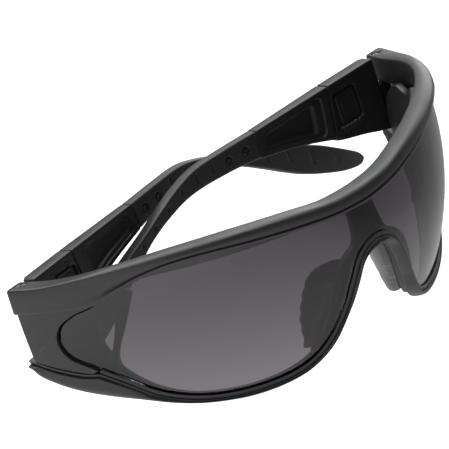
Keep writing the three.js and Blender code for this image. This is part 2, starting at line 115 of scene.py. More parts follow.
# ---- outlines as (angle along the front or distance from the pin, height) --------------------
LENS_LOW = [(0, -15.2), (3, -16.2), (5.8, -18.8), (8.2, -24), (11, -30.6), (14.5, -36.5), (19, -40.6),
            (25, -42.6), (33, -42.9), (42, -41.9), (50, -39.5), (57, -35.5), (62.5, -29.6), (67.6, -24.6),
            (72, -20.5), (73.4, -16)]
LENS_HIGH_END = [(73.4, -16), (71.8, -11.9), (68, -9.2), (64.2, -7.9), (60, -5.5)]
BROW_LOW = [(0, -6.3), (8, -5.7), (17, -4.4), (28, -2.6), (38, -1.1), (45, -1.0), (50, -1.9), (54, -3.2),
            (58, -5), (61, -6.4), (64.5, -7), (70, -7), (84, -7)]
BROW_TOP = [(0, -1.9), (8.6, -1.5), (16.4, -0.1), (24, 1), (33, 1.9), (45, 2.4), (57, 1.9), (66, 0.9),
            (74, 0.1), (84, 0)]
BROW_INNER_R = [(0, 65.6), (30, 65.6), (45, 66.4), (57, 67.4), (66, 67.4), (76, 66.2), (84, 66)]
CHEEK_TOP = [(82.6, -20.3), (76.4, -23.2), (69, -26.4)]
RIM_EDGE = [(0, -18.6), (3, -19.2), (5, -21.2), (6.6, -25), (8.4, -29), (10.6, -33), (13.5, -38.3),
            (17, -41.8), (22, -44.4), (29, -45.4), (36, -45.2), (42, -44.2), (48, -42.8), (53, -41.1),
            (58, -39), (63, -36.6), (68, -34), (73, -31.2), (78, -28.2), (81.6, -25.6), (83, -23)]
EYE_OPENING = [(3.4, -6.4), (3.7, -11), (4.6, -15.5), (7.8, -18), (11, -22.5), (13.6, -30), (16.6, -37.6),
               (21.5, -41), (29, -42.3), (38, -42), (48.6, -39.8), (56.5, -35.6), (61.6, -30),
               (63.4, -24.6), (58.4, -14.6), (54.8, -7), (53.4, -3.4)]
U_CUT = [(62, -31), (67.6, -24.6), (72, -20.5), (73.4, -16), (71.8, -11.9), (68, -9.2), (64.2, -7.9),
         (60.5, -5.9)]
VENT_SLIT = [(59.2, -8.6), (62.3, -10.5), (64.6, -14), (65.2, -18), (64.4, -22), (62.2, -18),
             (60.4, -13)]
TEMPLE_LOW = [(3, -19.6), (8, -18.2), (20.5, -14), (33, -10.2), (46.4, -7.3)]
TIP_TOP = [(45, 0), (58, 0.2), (68, 0), (76, -2), (83, -4.7), (90, -7.6), (99, -10.8), (107, -13.6),
           (115.5, -17.8), (121, -21.2), (125, -23.8), (127.6, -25.6), (128.9, -26.9), (129.4, -28)]
TIP_LOW = [(45, -7.3), (57, -6), (71, -5.7), (81, -7.8), (88, -10.4), (92.5, -12.8), (98, -16.2),
           (104, -20), (109, -22.9), (114.5, -25.4), (121, -27.9), (125, -28.9), (127.6, -29.2),
           (128.9, -28.8), (129.4, -28.1)]
RIVETS = [(50.2, -3.5), (56.2, -3.3)]
NOTCHES = [62, 68, 74, 80, 86, 91.5, 97, 104.5, 112, 119.5]

# ---- sections as (height, angle), (height, depth), (height, radius) and (rise, radius) ---------
PAD_INNER = [(-44, 19.5), (-38.3, 14.2), (-33, 11.2), (-29, 9), (-25, 7.2), (-21.2, 6), (-19, 5.6)]
PAD_DEPTH = [(-42, 1.5), (-40.6, 2.2), (-38, 3.6), (-34.5, 5.6), (-30.5, 7.2), (-26, 8), (-22.5, 7.6),
             (-20.8, 6), (-19, 1.5)]
PIN_R = 0.8
PIN_BARREL = (-23, -0.5)
PIN_FOOT = [(-23.6, 0.35), (-23.4, 0.62)]
PIN_CROWN = [(-0.3, 0.76), (-0.2, 0.66), (-0.2, 0.4), (-0.45, 0.25)]
RIVET_SHAPE = [(0.0, 1.0), (0.35, 1.02), (0.55, 0.92), (0.66, 0.7), (0.6, 0.42), (0.52, 0.2)]

# ---- round marks as (distance from the pin, distance from the top) -----------------------------
EJECTOR_MARKS = [(15.6, 1.9), (9.4, 2.2), (8.2, 12.9), (15.3, 14.0), (9.0, 7.6)]


# ---- curves -----------------------------------------------------------------------------------
def curve_at(points, a):
    """A smooth curve through (a, b) points, read as b at a given a."""
    last = len(points) - 1
    if points[0][0] > points[last][0]:
        return curve_at(points[::-1], a)
    if a <= points[0][0]:
        return points[0][1]
    if a >= points[last][0]:
        return points[last][1]
    i = next(k for k in range(last) if points[k + 1][0] >= a)

    def slope(j):
        p, q = points[max(j - 1, 0)], points[min(j + 1, last)]
        return (q[1] - p[1]) / (q[0] - p[0])

    (a0, b0), (a1, b1) = points[i], points[i + 1]
    h = a1 - a0
    t = (a - a0) / h
    blend = t * t * (3 - 2 * t)
    bend = slope(i) * h * t * (1 - t) ** 2 + slope(i + 1) * h * t * t * (t - 1)
    return b0 + (b1 - b0) * blend + bend


def smoothstep(x, low, high):
    t = min(max((x - low) / (high - low), 0), 1)
    return t * t * (3 - 2 * t)


def mix(a, b, t):
    return a + (b - a) * t


def spread(low, high, count):
    return [mix(low, high, i / (count - 1)) for i in range(count)]


def catmull(points, per_span=8):
    """Points along a smooth open curve through the given flat ones."""
    ends = [tuple(2 * a - b for a, b in zip(points[0], points[1])),
            tuple(2 * a - b for a, b in zip(points[-1], points[-2]))]
    run = [ends[0], *points, ends[1]]
    made = []
    for i in range(1, len(run) - 2):
        p0, p1, p2, p3 = run[i - 1:i + 3]
        for k in range(per_span):
            t = k / per_span
            made.append(tuple(
                0.5 * (2 * b + (c - a) * t + (2 * a - 5 * b + 4 * c - d) * t * t
                       + (3 * b - a - 3 * c + d) * t ** 3)
                for a, b, c, d in zip(p0, p1, p2, p3)))
    return made + [points[-1]]


def circle(count):
    return [2 * math.pi * k / count for k in range(count)]


def flat(points):
    """Angle and height as millimetres along the front and up."""
    return [(a * MM_PER_DEG, b) for a, b in points]


def even(points, count):
    """The same open line with evenly spaced points."""
    lengths = [0.0]
    for p, q in zip(points, points[1:]):
        lengths.append(lengths[-1] + math.dist(p, q))
    made, k = [], 0
    for i in range(count):
        want = lengths[-1] * i / (count - 1)
        while k < len(points) - 2 and lengths[k + 1] < want:
            k += 1
        span = lengths[k + 1] - lengths[k] or 1
        t = min(max((want - lengths[k]) / span, 0), 1)
        made.append(tuple(mix(a, b, t) for a, b in zip(points[k], points[k + 1])))
    return made


def sideways(points, distance):
    """The same open line moved to its left."""
    made = []
    for i, p in enumerate(points):
        a, b = points[max(i - 1, 0)], points[min(i + 1, len(points) - 1)]
        dx, dy = b[0] - a[0], b[1] - a[1]
        size = math.hypot(dx, dy) or 1
        made.append((p[0] - dy / size * distance, p[1] + dx / size * distance))
    return made


# ---- the front's surface ----------------------------------------------------------------------
def front_radius(angle, z):
    """The lens's outer face: leaning in above and below, upright at the sides, fuller at the nose."""
    upright = 0.55 * smoothstep(abs(angle), 58, 79)
    lean = 0.0075 * (z + 5) ** 2 * (1 - upright)
    nose = 2 * math.exp(-((angle / 18) ** 2)) * min(max(-z / 15, 0), 1)
    return LENS_R - lean + nose


def placed(x, y, z):
    return Vector((x, y, z)) * MM + DATUM


def turned(angle, radius, z):
    t = math.radians(angle)
    return placed(radius * math.sin(t), WRAP_Y - radius * math.cos(t), z)


def wrapped(along, z, outward):
    """A point along the front (mm), at a height, standing outward from the lens's outer face."""
    angle = along / MM_PER_DEG
    return turned(angle, front_radius(angle, z) + outward, z)


# ---- mesh building ----------------------------------------------------------------------------
def finished(name, bm, sharp=38):
    bmesh.ops.recalc_face_normals(bm, faces=bm.faces)
    mesh = bpy.data.meshes.new(name)
    bm.to_mesh(mesh)
    bm.free()
    mesh.shade_smooth()
    mesh.set_sharp_from_angle(angle=math.radians(sharp))
    piece = bpy.data.objects.new(name, mesh)
    bpy.context.scene.collection.objects.link(piece)
    return piece


def skin(name, rings, sharp=38):
    """A closed skin through rings with the same number of points, capped at both ends."""
    bm = bmesh.new()
    rows = [[bm.verts.new(p) for p in ring] for ring in rings]
    count = len(rows[0])
    for a, b in zip(rows, rows[1:]):
        for j in range(count):
            k = (j + 1) % count
            bm.faces.new((a[j], a[k], b[k], b[j]))
    for row in (rows[0], rows[-1]):
        cap = bm.faces.new(row)
        bmesh.ops.triangulate(bm, faces=[cap])
    return finished(name, bm, sharp)


def eased_ends(rings, radius):
    """Adds two smaller rings before the first and after the last, so the ends have a soft edge."""

    def eased(end, beyond):
        middle = sum(end, Vector()) / len(end)
        ahead = (middle - sum(beyond, Vector()) / len(beyond)).normalized()
        made = []
        for part in (0.35, 1.0):
            inward = radius * MM * (1 - math.cos(part * math.pi / 2))
            forward = radius * MM * math.sin(part * math.pi / 2)
            made.append([p + (middle - p).normalized() * min(inward, (middle - p).length * 0.8)
                         + ahead * forward for p in end])
        return made

    first = eased(rings[0], rings[1])
    last = eased(rings[-1], rings[-2])
    return [first[1], first[0], *rings, *last]


def cut_plate(name, outline, holes, inner, outer, bevel, step=2.2):
    """A plate with holes and soft edges, cut to an outline along the front and bent round it."""
    curve = bpy.data.curves.new(name, "CURVE")
    curve.dimensions = "2D"
    curve.fill_mode = "BOTH"
    thick = outer(0) - inner(0)
    curve.extrude = max(thick / 2 - bevel, 0.01)
    curve.bevel_depth = bevel
    curve.bevel_resolution = 2
    curve.offset = -bevel
    for line in [outline, *holes]:
        spline = curve.splines.new("POLY")
        spline.points.add(len(line) - 1)
        for point, (x, y) in zip(spline.points, line):
            point.co = (x, y, 0, 1)
        spline.use_cyclic_u = True
    shape = bpy.data.objects.new(name + "_outline", curve)
    bpy.context.scene.collection.objects.link(shape)
    bpy.context.view_layer.update()
    raw = bpy.data.meshes.new_from_object(shape.evaluated_get(bpy.context.evaluated_depsgraph_get()))
    bpy.data.objects.remove(shape)
    bm = bmesh.new()
    bm.from_mesh(raw)
    bpy.data.meshes.remove(raw)
    bmesh.ops.remove_doubles(bm, verts=bm.verts, dist=0.004)
    for axis in (0, 1):
        low = min(v.co[axis] for v in bm.verts)
        high = max(v.co[axis] for v in bm.verts)
        for k in range(1, int((high - low) / step)):
            at = Vector((0, 0, 0))
            at[axis] = low + k * step
            normal = Vector((axis == 0, axis == 1, 0))
            bmesh.ops.bisect_plane(bm, geom=bm.verts[:] + bm.edges[:] + bm.faces[:], dist=0.002,
                                   plane_co=at, plane_no=normal)
    for vert in bm.verts:
        x, y, depth = vert.co
        part = depth / thick + 0.5
        vert.co = wrapped(x, y, mix(inner(x), outer(x), part))
    return finished(name, bm, 30)


# ---- materials --------------------------------------------------------------------------------
PLASTIC_IOR = 1.5
GRAIN_DEPTH = 0.00006  # metres
LENS_LIGHT = (0.205, 0.183, 0.2, 1)  # the tint at the bottom of the lens
LENS_DARK = (0.088, 0.077, 0.088, 1)  # and at the top
LENS_FADE = (0.004, 0.04)  # heights in metres between which it changes
LENS_SHADOW = (0.3, 0.28, 0.3, 1)


def new_group(name, inputs, outputs):
    group = bpy.data.node_groups.new(name, "ShaderNodeTree")
    for label, kind, value in inputs:
        group.interface.new_socket(label, in_out="INPUT", socket_type=kind).default_value = value
    for label, kind in outputs:
        group.interface.new_socket(label, in_out="OUTPUT", socket_type=kind)
    return group, group.nodes.new("NodeGroupInput"), group.nodes.new("NodeGroupOutput")


def feed(tree, socket, value):
    """Sets a socket to a number, or links it to another node's output."""
    if isinstance(value, (int, float)):
        socket.default_value = value
    else:
        tree.links.new(value, socket)


def object_place(tree):
    return tree.nodes.new("ShaderNodeTexCoord").outputs["Object"]


def place_along(tree, axis):
    """One of the three object-space coordinates."""
    parts = tree.nodes.new("ShaderNodeSeparateXYZ")
    tree.links.new(object_place(tree), parts.inputs["Vector"])
    return parts.outputs[axis]


def noise(tree, scale, detail, rough=0.55):
    node = tree.nodes.new("ShaderNodeTexNoise")
    node.inputs["Detail"].default_value = detail
    node.inputs["Roughness"].default_value = rough
    tree.links.new(object_place(tree), node.inputs["Vector"])
    feed(tree, node.inputs["Scale"], scale)
    return node.outputs["Fac"]


def remap(tree, value, low, high, to_low, to_high):
    node = tree.nodes.new("ShaderNodeMapRange")
    labels = ("Value", "From Min", "From Max", "To Min", "To Max")
    for label, given in zip(labels, (value, low, high, to_low, to_high)):
        feed(tree, node.inputs[label], given)
    return node.outputs["Result"]


def greater(tree, first, second):
    node = tree.nodes.new("ShaderNodeMath")
    node.operation = "MAXIMUM"
    tree.links.new(first, node.inputs[0])
    tree.links.new(second, node.inputs[1])
    return node.outputs[0]


def finish_with(tree, factor, usual, other, end):
    """Ends a material or world with one shader, or with another where the factor is 1."""
    either = tree.nodes.new("ShaderNodeMixShader")
    tree.links.new(factor, either.inputs["Fac"])
    tree.links.new(usual, either.inputs[1])
    tree.links.new(other, either.inputs[2])
    tree.links.new(either.outputs["Shader"], tree.nodes[end].inputs["Surface"])


def blended(tree, factor, first, second):
    node = tree.nodes.new("ShaderNodeMix")
    node.data_type = "RGBA"
    tree.links.new(factor, node.inputs[0])
    tree.links.new(first, node.inputs[6])
    tree.links.new(second, node.inputs[7])
    return node.outputs[2]


def moulded_surface():
    """Moulded plastic: fine spark-eroded grain, faint mottling, pale specks and a painted highlight along
    convex edges.
    """
    tree, given, out = new_group(
        "moulded_surface",
        [("Color", "NodeSocketColor", (0.05, 0.05, 0.05, 1)),
         ("Highlight and Speck Color", "NodeSocketColor", (0.15, 0.15, 0.15, 1)),
         ("Grain Scale", "NodeSocketFloat", 4000.0),
         ("Smooth", "NodeSocketFloat", 0.4),
         ("Rough", "NodeSocketFloat", 0.55)],
        [("Color", "NodeSocketColor"), ("Roughness", "NodeSocketFloat"), ("Height", "NodeSocketFloat")])
    grain = noise(tree, given.outputs["Grain Scale"], 2.0, 0.6)
    mottle = noise(tree, 90.0, 4.0)
    specks = noise(tree, 1500.0, 1.0, 0.4)
    shape = tree.nodes.new("ShaderNodeNewGeometry")
    # painted highlight: convex edges, found by Pointiness, take the lighter colour that the pale specks also
    # use
    edge_highlight = remap(tree, shape.outputs["Pointiness"], 0.53, 0.62, 0.0, 0.5)
    speck = remap(tree, specks, 0.74, 0.8, 0.0, 0.35)
    color = blended(tree, greater(tree, edge_highlight, speck), given.outputs["Color"],
                    given.outputs["Highlight and Speck Color"])
    tree.links.new(color, out.inputs["Color"])
    tree.links.new(remap(tree, mottle, 0.3, 0.7, given.outputs["Smooth"], given.outputs["Rough"]),
                   out.inputs["Roughness"])
    tree.links.new(grain, out.inputs["Height"])
    return tree


def new_material(name):
    material = bpy.data.materials.new(name)
    material.use_nodes = True
    shader = material.node_tree.nodes["Principled BSDF"]
    return material, material.node_tree, shader


def moulded(name, group, color, edge_highlight, grain_scale, smooth, rough, bump, sheen=0.0):
    """A black plastic or rubber: roughness runs from smooth to rough, bump is the grain's strength, and the
    second colour is the painted edge highlight, shared by the pale specks.
    """
    material, tree, shader = new_material(name)
    surface = tree.nodes.new("ShaderNodeGroup")
    surface.node_tree = group
    surface.inputs["Color"].default_value = (*color, 1)
    surface.inputs["Highlight and Speck Color"].default_value = (*edge_highlight, 1)
    surface.inputs["Grain Scale"].default_value = grain_scale
    surface.inputs["Smooth"].default_value = smooth
    surface.inputs["Rough"].default_value = rough
    lumps = tree.nodes.new("ShaderNodeBump")
    lumps.inputs["Strength"].default_value = bump
    lumps.inputs["Distance"].default_value = GRAIN_DEPTH
    tree.links.new(surface.outputs["Height"], lumps.inputs["Height"])
    tree.links.new(surface.outputs["Color"], shader.inputs["Base Color"])
    tree.links.new(surface.outputs["Roughness"], shader.inputs["Roughness"])
    tree.links.new(lumps.outputs["Normal"], shader.inputs["Normal"])
    shader.inputs["Sheen Weight"].default_value = sheen
    shader.inputs["IOR"].default_value = PLASTIC_IOR
    shader.inputs["Specular IOR Level"].default_value = 0.42
    return material


def tinted_lens():
    """Grey-violet polycarbonate, darker upwards, with faint wiping haze and a tinted shadow."""
    material, tree, shader = new_material("lens_tint")
    shader.inputs["Transmission Weight"].default_value = 1.0
    shader.inputs["IOR"].default_value = PLASTIC_IOR
    fade = tree.nodes.new("ShaderNodeValToRGB")
    fade.color_ramp.elements[0].color = LENS_LIGHT
    fade.color_ramp.elements[1].color = LENS_DARK
    tree.links.new(remap(tree, place_along(tree, "Z"), *LENS_FADE, 0.0, 1.0), fade.inputs["Fac"])
    tree.links.new(fade.outputs["Color"], shader.inputs["Base Color"])
    haze = noise(tree, 45.0, 5.0, 0.7)
    tree.links.new(remap(tree, haze, 0.4, 0.75, 0.0, 0.004), shader.inputs["Roughness"])
    clear = tree.nodes.new("ShaderNodeBsdfTransparent")
    clear.inputs["Color"].default_value = LENS_SHADOW
    path = tree.nodes.new("ShaderNodeLightPath")
    finish_with(tree, path.outputs["Is Shadow Ray"], shader.outputs["BSDF"], clear.outputs["BSDF"],
                "Material Output")
    return material


def pin_steel():
    material, tree, shader = new_material("pin_steel")
    shader.inputs["Base Color"].default_value = (0.62, 0.62, 0.63, 1)
    shader.inputs["Metallic"].default_value = 1.0
    marks = noise(tree, 2500.0, 3.0, 0.7)
    tree.links.new(remap(tree, marks, 0.3, 0.7, 0.2, 0.42), shader.inputs["Roughness"])
    return material


GROUP = moulded_surface()
# in each material the second colour is the painted edge highlight, which the pale specks share
MATERIALS = {
    "frame_black": moulded("frame_black", GROUP, (0.016, 0.0165, 0.0175), (0.06, 0.06, 0.063),
                           grain_scale=4200, smooth=0.36, rough=0.46, bump=0.3),
    "soft_black": moulded("soft_black", GROUP, (0.013, 0.0135, 0.0142), (0.05, 0.05, 0.053),
                          grain_scale=3000, smooth=0.46, rough=0.58, bump=0.4, sheen=0.1),
    "pad_rubber": moulded("pad_rubber", GROUP, (0.06, 0.061, 0.063), (0.14, 0.14, 0.14),
                          grain_scale=2500, smooth=0.18, rough=0.28, bump=0.12),
    "lens_tint": tinted_lens(),
    "pin_steel": pin_steel(),
}


def fit(piece, body, slot, *nodes):
    """Gives a piece its finish and its body, and hides the solids it stands for."""
    piece.data.materials.clear()
    piece.data.materials.append(MATERIALS[slot])
    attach(piece, body)
    if nodes:
        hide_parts(*nodes)


# ---- the front's pieces -----------------------------------------------------------------------
def brow_profile(angle):
    """The bar's section as (radius, height): sloping top, ridge, groove and the lip over the lens."""
    a = abs(angle)
    top = curve_at(BROW_TOP, a)
    low = curve_at(BROW_LOW, a)
    inner = curve_at(BROW_INNER_R, a)
    lens = front_radius(a, low)
    front = lens + LIP_OUT
    seat = low + 1.7 * (1 - smoothstep(a, 64, 68))
    groove = 1 - smoothstep(a, 56, 68)
    ridge = mix(0.5, 1.15, groove)
    high = top - low
    return [
        (inner + 0.35, seat), (inner + 0.1, seat + 0.1), (inner, seat + 0.4),
        (inner, mix(seat, top, 0.5)), (inner, top - 0.6), (inner + 0.06, top - 0.25),
        (inner + 0.25, top - 0.05), (inner + 0.6, top), (mix(inner, front, 0.45), top + 0.03),
        (front - 1.7 * ridge, top - 0.02),
        (front - ridge, top - 0.14 * ridge), (front - 0.6 * ridge, top - 0.36 * ridge),
        (front - 0.28 * ridge, top - 0.7 * ridge), (front - 0.08 * ridge, top - 1.15 * ridge),
        (front, top - 0.5 * high), (front, low + 0.4 * high),
        (front - 0.08 * groove, low + 0.32 * high), (front - 0.5 * groove, low + 0.28 * high),
        (front - 0.55 * groove, low + 0.24 * high), (front - 0.2 * groove, low + 0.19 * high),
        (front, low + 0.15 * high), (front, low + 0.5), (front - 0.16, low + 0.18), (front - 0.5, low),
        (lens + 0.7, low), (lens + 0.3, low + 0.12), (lens + 0.3, seat),
    ]


def last_angle(radius):
    """Where the bar's square end crosses a given radius."""
    return math.degrees(math.acos((WRAP_Y - BROW_END_Y) / radius))


def drill(piece, middle, radius, depth):
    """Sinks a round upright hole into a piece from above."""
    bm = bmesh.new()
    bmesh.ops.create_cone(bm, cap_ends=True, segments=36, radius1=radius * MM, radius2=radius * MM,
                          depth=2 * depth * MM, matrix=Matrix.Translation(middle))
    bit = finished("drill_bit", bm)
    cut = piece.modifiers.new("hole", "BOOLEAN")
    cut.object = bit
    cut.solver = "EXACT"
    drilled = bpy.data.meshes.new_from_object(
        piece.evaluated_get(bpy.context.evaluated_depsgraph_get()))
    piece.modifiers.clear()
    old = piece.data
    piece.data = drilled
    bpy.data.meshes.remove(old)
    bpy.data.objects.remove(bit)


def brow_bar():
    """The bar from hinge to hinge; past BROW_TAIL its rings slant until the last one is square."""
    rings = []
    for angle in spread(-FRONT_END, FRONT_END, 169):
        a = abs(angle)
        tail = max(a - BROW_TAIL, 0) / (FRONT_END - BROW_TAIL)
        late = smoothstep(tail, 0, 1) * tail
        ring = []
        for radius, z in brow_profile(angle):
            end = a - (FRONT_END - last_angle(radius)) * late
            ring.append(turned(math.copysign(end, angle), radius, z))
        rings.append(ring)
    bar = skin("brow_bar_shell", eased_ends(rings, 0.42))
    for sign in SIDES.values():
        drill(bar, placed(sign * PIN_X, 0, 0), PIN_HOLE, PIN_HOLE_DEPTH)
    fit(bar, "front", "frame_black", "brow_bar")


def lens_edges():
    """Matched points along the lens's upper and lower edges, from the middle to one end."""
    middle = spread(0, LENS_END, 61)
    high = [(a * MM_PER_DEG, curve_at(BROW_LOW, a) + LENS_TUCK) for a in middle]
    low = [(a * MM_PER_DEG, curve_at(LENS_LOW, a)) for a in middle]
    low_points = [p for p in LENS_LOW if p[0] >= LENS_END - 3]
    low_end = [p for p in catmull(flat(low_points), 12) if p[0] > LENS_END * MM_PER_DEG]
    high_end = catmull(flat(LENS_HIGH_END), 12)[::-1]
    high_end[0] = high[-1]
    count = 26
    high += even(high_end, count)[1:-1]
    low += even([low[-1], *low_end], count)[1:-1]
    high.append((LENS_TIP * MM_PER_DEG, LENS_TIP_HIGH))
    low.append((LENS_TIP * MM_PER_DEG, LENS_TIP_LOW))
    return high, low


def both_sides(run):
    """A run that starts at the middle, with its mirror image before it."""
    return [(-x, y) for x, y in run[:0:-1]] + run


def lens():
    high, low = lens_edges()
    across = [0, 0.006, 0.02, *spread(0.05, 0.95, 30), 0.98, 0.994, 1]
    rings = []
    for top, bottom in zip(both_sides(high), both_sides(low)):
        grown = Vector(top) - Vector(bottom)
        foot = Vector(bottom) - grown.normalized() * LENS_FOOT
        line = [foot.lerp(Vector(top), s) for s in across]
        soft = [LENS_SOFT if s in (0, 1) else 0 for s in across]
        outside = [wrapped(p.x, p.y, -cut) for p, cut in zip(line, soft)]
        inside = [wrapped(p.x, p.y, cut - LENS_T) for p, cut in zip(line, soft)]
        rings.append(outside + inside[::-1])
    fit(skin("lens_shield", rings, 50), "front", "lens_tint", "lens")


def lens_foot():
    """The lens's lower edge on one side, from the nose to the cheek bar."""
    return [p for p in catmull(flat(LENS_LOW), 10) if p[1] < CHEEK_JOIN or p[0] < NOSE_SPAN]


def lens_seal():
    foot = both_sides(even(lens_foot(), 150))
    rings = []
    for (x, y), (ox, oy) in zip(sideways(foot, -SEAL_OUT), foot):
        out = Vector((x - ox, y - oy)).normalized()
        ring = []
        for turn in circle(12):
            aside = SEAL_HALF * math.cos(turn)
            ring.append(wrapped(x + out.x * aside, y + out.y * aside,
                                SEAL_FRONT + SEAL_RISE * math.sin(turn)))
        rings.append(ring)
    fit(skin("lens_seal_bead", eased_ends(rings, 0.4)), "front", "soft_black", "lens_seal")


def rim_pairs():
    """Matched points on the lower rim's inner and outer edges, nose to hinge, on one side."""
    inner = sideways(lens_foot(), -RIM_GAP)
    inner[0] = (0, inner[0][1])
    inner = even(inner + catmull(flat(CHEEK_TOP[::-1]), 10)[2:], 190)
    outer = even(catmull(flat(RIM_EDGE), 12), 900)
    picks = []
    nearest = 0
    for p in inner:
        ahead = range(nearest, min(nearest + 60, len(outer)))
        nearest = min(ahead, key=lambda j: math.dist(outer[j], p))
        picks.append(nearest)
    picks[-1] = len(outer) - 1
    for _ in range(12):
        between = [(a + 2 * b + c) / 4 for a, b, c in zip(picks, picks[1:], picks[2:])]
        picks = [picks[0], *between, picks[-1]]
    return [(p, outer[round(k)]) for p, k in zip(inner, picks)]


def rim_profile(width, cheek):
    """Section as (distance from the inner edge, outward): a rib, a groove and the round bar."""
    rib = mix(0.45, 0.9, cheek)
    groove = mix(1.05, 0.35, cheek)
    back = mix(-2.4, -3.0, cheek)
    body = width - rib
    return [
        (0.15, back + 0.2), (0, back + 0.6), (0, -0.6), (0, 0.35), (0.08, 0.8), (0.25, 0.98),
        (rib * 0.7, 0.98), (rib, mix(1.0, 0.75, cheek)), (rib + 0.15, groove), (rib + 0.38, groove),
        (rib + 0.55, mix(1.15, 0.85, cheek)), (rib + 0.8, mix(1.3, 1.25, cheek)),
        (rib + body * 0.42, 1.6), (rib + body * 0.62, 1.58), (rib + body * 0.8, 1.2),
        (rib + body * 0.93, 0.55), (width, -0.25), (width - 0.02, -1.1),
        (width - 0.12, mix(-1.7, -2.2, cheek)),
        (width - 0.5, back + 0.15), (width - 0.9, back), (width * 0.3, back),
    ]


def lower_rim():
    rings = []
    for (ix, iy), (ox, oy) in rim_pairs():
        width = max(math.hypot(ox - ix, oy - iy), RIM_LEAST)
        cheek = smoothstep(ix / MM_PER_DEG, *CHEEK_ANGLES)
        ring = []
        for away, outward in rim_profile(width, cheek):
            t = away / width
            ring.append(wrapped(mix(ix, ox, t), mix(iy, oy, t), outward))
        rings.append(ring)
    other = [[Vector((-p.x, p.y, p.z)) for p in ring] for ring in rings[:0:-1]]
    fit(skin("lower_rim_shell", eased_ends(other + rings, 0.3)), "front", "frame_black", "lower_rim")


def side_panel(side):
    """Flat panel between brow and cheek bar, cut out round the end of the lens."""
    cut = [p for p in sideways(catmull(flat(U_CUT), 10), -PANEL_GAP) if -25.6 < p[1] < -6.6]
    rear = PANEL_REAR * MM_PER_DEG
    cheek = [(a * MM_PER_DEG, z + 0.25) for a, z in catmull(CHEEK_TOP[::-1], 8)]
    cheek = [(x, z) for x, z in cheek if cut[0][0] + 0.3 < x < rear - 0.2 * MM_PER_DEG]
    outline = [*cheek, (rear, cheek[-1][1] + 0.6), (rear, -6.8), *cut[::-1]]
    outline = [(SIDES[side] * x, y) for x, y in outline]

    def inner(x):
        return mix(-0.5, 0.3, smoothstep(abs(x) / MM_PER_DEG, 75, 77.2))

    panel = cut_plate("side_panel_shell_" + side, outline, [], inner, lambda x: PANEL_FRONT, 0.22, 1.0)
    fit(panel, "front", "frame_black", "side_panel_" + side)


def lens_carrier():
    """The inner frame: one opening for each eye, a nose column between them and a slit each side."""
    high, low = lens_edges()

    def grown(run, way, start):
        """The run moved to one side, by start along the middle and by END_LAP at the lens's end."""
        made = []
        for (x, y), (px, py) in zip(run, sideways(run, way)):
            lap = mix(start, END_LAP, smoothstep(x / MM_PER_DEG, LENS_END, 68))
            made.append((x + (px - x) * lap, y + (py - y) * lap))
        made[0] = (0, made[0][1])
        return made

    def outer(x):
        return mix(-2.5, -3.1, smoothstep(abs(x) / MM_PER_DEG, *CHEEK_ANGLES))

    outline = both_sides(grown(low, -1, CARRIER_LAP)) + both_sides(grown(high, 1, 0))[::-1]
    eye = flat(catmull(EYE_OPENING + EYE_OPENING[:1], 7)[:-1])
    slit = flat(catmull(VENT_SLIT + VENT_SLIT[:1], 7)[:-1])
    holes = [[(s * x, y) for x, y in hole] for hole in (eye, slit) for s in (1, -1)]
    plate = cut_plate("lens_carrier_plate", outline, holes, lambda x: outer(x) - CARRIER_T, outer, 0.25)
    fit(plate, "front", "frame_black", "lens_carrier")


def thick_line(points, half):
    """The outline of a flat line given a thickness, with round ends."""
    left = sideways(points, half)
    right = sideways(points, -half)

    def nose(end, before):
        ahead = Vector(end) - Vector(before)
        return tuple(Vector(end) + ahead.normalized() * half * 0.9)

    return left + [nose(points[-1], points[-2])] + right[::-1] + [nose(points[0], points[1])]


def nose_pad(side):
    """Soft pad: a scalloped flange behind the rim that turns back into the wing beside the nose."""
    rings = []
    for z in spread(PAD_TOP, PAD_FOOT, 110):
        inner = curve_at(PAD_INNER, z)
        ends = math.sin(math.pi * min(max((z + 41.6) / 22.6, 0.03), 0.97)) ** 0.6
        scallop = SCALLOP_DEPTH * abs(math.sin(math.pi * (z + 19) / SCALLOP)) * ends
        depth = DEEPER * curve_at(PAD_DEPTH, z) + scallop
        angles = spread(inner + 1.2 + 3 * ends, inner + 0.9, 7)
        flange = [wrapped(a * MM_PER_DEG, z, PAD_BACK) - DATUM for a in angles]
        start = [(p.x / MM, p.y / MM) for p in flange]
        x, y = start[-1]
        wing = [(x - 0.75 + depth * (0.06 * t + 0.34 * t * t), y + 0.8 + depth * t) for t in spread(0, 1, 14)]
        outline = thick_line([*start, (x - 0.5, y + 0.2), *wing], mix(0.3, 0.6, ends))
        rings.append([placed(SIDES[side] * px, py, z) for px, py in outline])
    pad = skin("nose_pad_soft_" + side, eased_ends(rings, 0.35), 60)
    fit(pad, "front", "pad_rubber", "nose_pad_" + side)


def hinge_pin(side):
    """A steel pin with a rounded foot and a turned top."""
    barrel = [(z, PIN_R) for z in spread(*PIN_BARREL, 8)]
    rings = []
    for z, radius in PIN_FOOT + barrel + PIN_CROWN:
        rings.append([placed(SIDES[side] * PIN_X + radius * math.cos(a), radius * math.sin(a), z)
                      for a in circle(28)])
    fit(skin("hinge_pin_steel_" + side, rings), "front", "pin_steel", "hinge_pin_" + side)


# ---- the temples ------------------------------------------------------------------------------
def on_temple(side, u, v, z):
    """Distance from the pin, distance from the inner face's plane and height, as a folded point."""
    turn = math.radians(FOLD[side])
    along = u * math.cos(turn) - v * math.sin(turn)
    back = u * math.sin(turn) + v * math.cos(turn)
    return placed(SIDES[side] * (PIN_X - along), back, z)


def rounded_box(x, y, half_x, half_y, radius):
    """Distance inside a rounded rectangle, positive inside."""
    qx = abs(x) - half_x + radius
    qy = abs(y) - half_y + radius
    outside = math.hypot(max(qx, 0), max(qy, 0))
    return radius - outside - min(max(qx, qy), 0)


def dip(inside, depth, wall):
    """A pocket's depth at a distance inside its outline, with a sloping wall."""
    return depth * smoothstep(inside, 0, wall)


def nothing(*_):
    return 0


